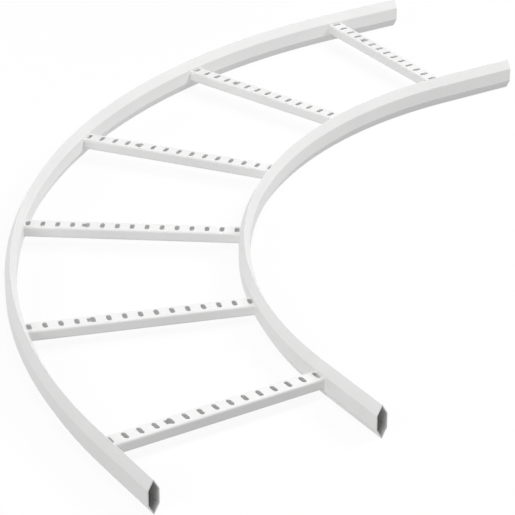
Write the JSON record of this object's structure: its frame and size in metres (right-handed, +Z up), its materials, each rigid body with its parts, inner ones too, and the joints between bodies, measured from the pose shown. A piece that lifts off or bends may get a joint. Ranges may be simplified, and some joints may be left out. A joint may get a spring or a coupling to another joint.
{
  "type": "cable ladder bend",
  "caption": "Flat right-angle bend of cable ladder: concentric hollow six-sided side rails joined by radial slotted channel rungs, coated white, to carry cables round a corner.",
  "frame": {"origin": "on the floor under the middle of the box around the bend", "axes": "+Z up, across the ladder's flat; the near straight ends run to -Y and the far ones to +X"},
  "size_m": [1.3336, 1.3336, 0.056],
  "materials": {
    "white_coat": "satin white powder coat on steel"
  },
  "bodies": {
    "root": {"outer_side_rail": "white_coat", "inner_side_rail": "white_coat", "rung_1": "white_coat", "rung_2": "white_coat", "rung_3": "white_coat", "rung_4": "white_coat", "rung_5": "white_coat", "rung_6": "white_coat"}
  },
  "joints": []
}
